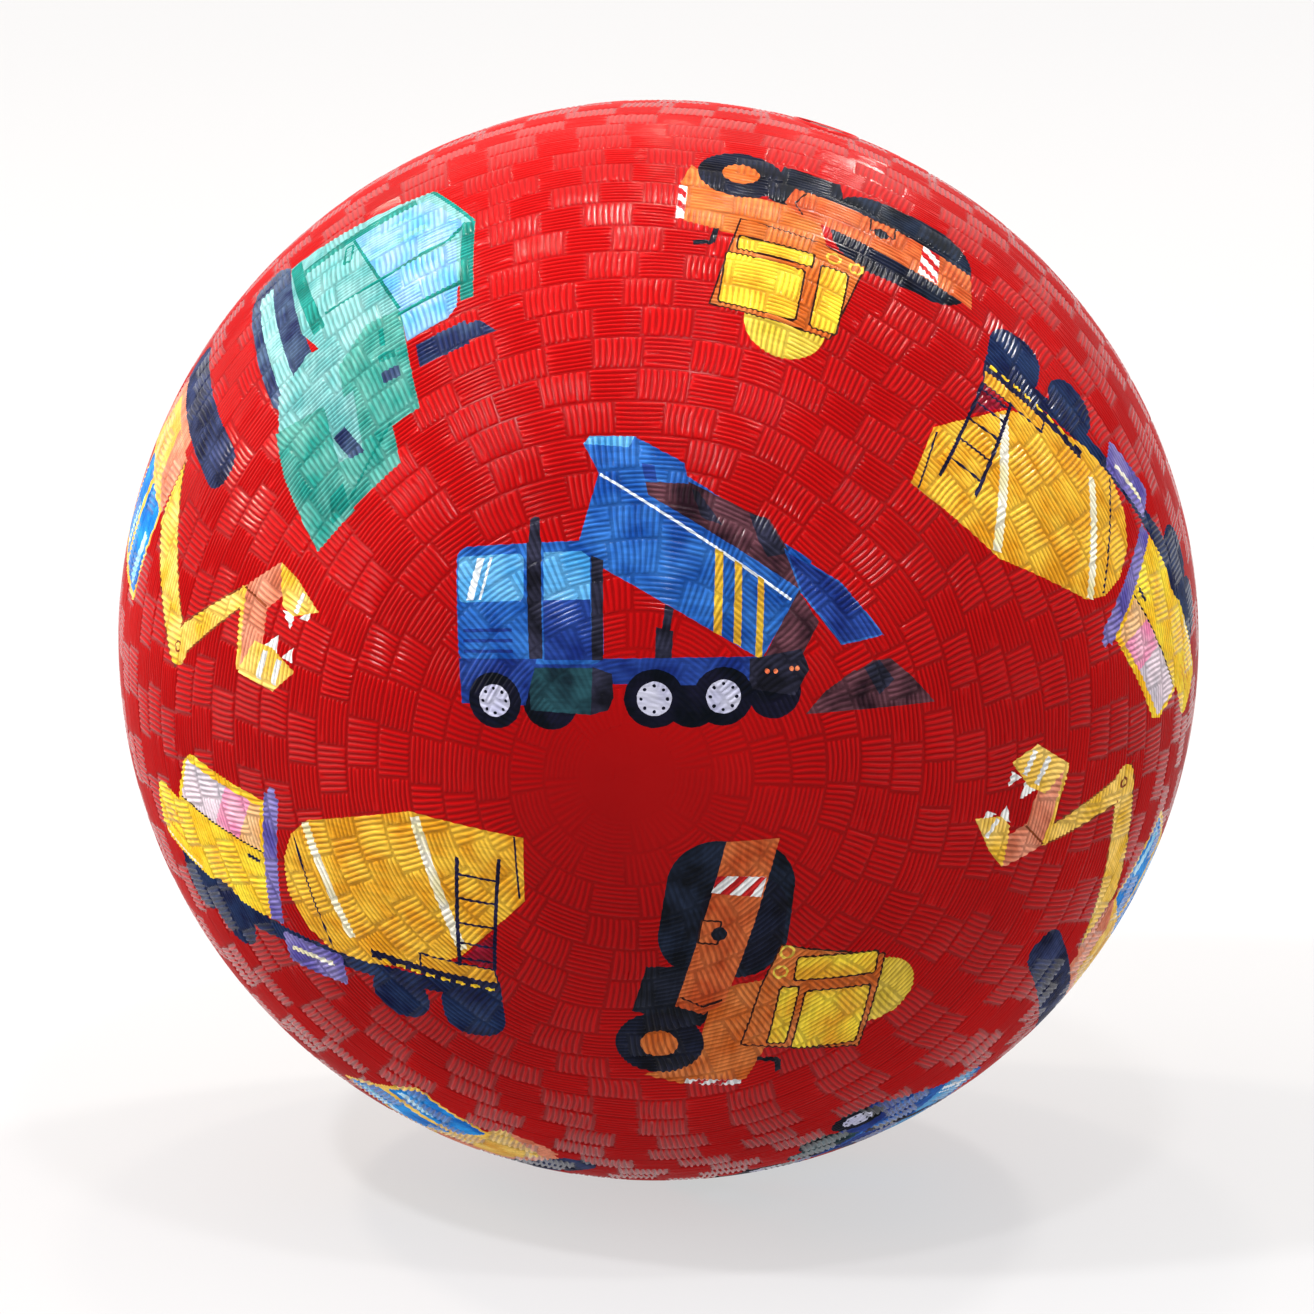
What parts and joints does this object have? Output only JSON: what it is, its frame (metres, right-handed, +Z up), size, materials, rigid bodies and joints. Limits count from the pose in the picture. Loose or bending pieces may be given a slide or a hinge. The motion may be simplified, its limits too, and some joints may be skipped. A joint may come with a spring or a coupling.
{
  "type": "playground ball",
  "caption": "Inflated rubber playground ball with a basket-weave tread, printed vehicles and a needle valve.",
  "frame": {"origin": "centre of the ball", "axes": "+Z up as the ball lies on the ground; the valve is near the top, leaning 21 degrees off +Z towards +X and +Y; the mould pole where the tread's rings close faces -Y"},
  "size_m": [0.178, 0.178, 0.178],
  "materials": {
    "cover_rubber": "moulded basket weave, satin gloss, printed",
    "bladder_rubber": "smooth matte",
    "valve_rubber": "smooth satin gloss",
    "core_rubber": "smooth satin"
  },
  "bodies": {
    "root": {"cover": "cover_rubber", "bladder": "bladder_rubber", "valve_patch": "bladder_rubber", "valve_housing": "valve_rubber", "valve_core": "core_rubber"}
  },
  "joints": []
}
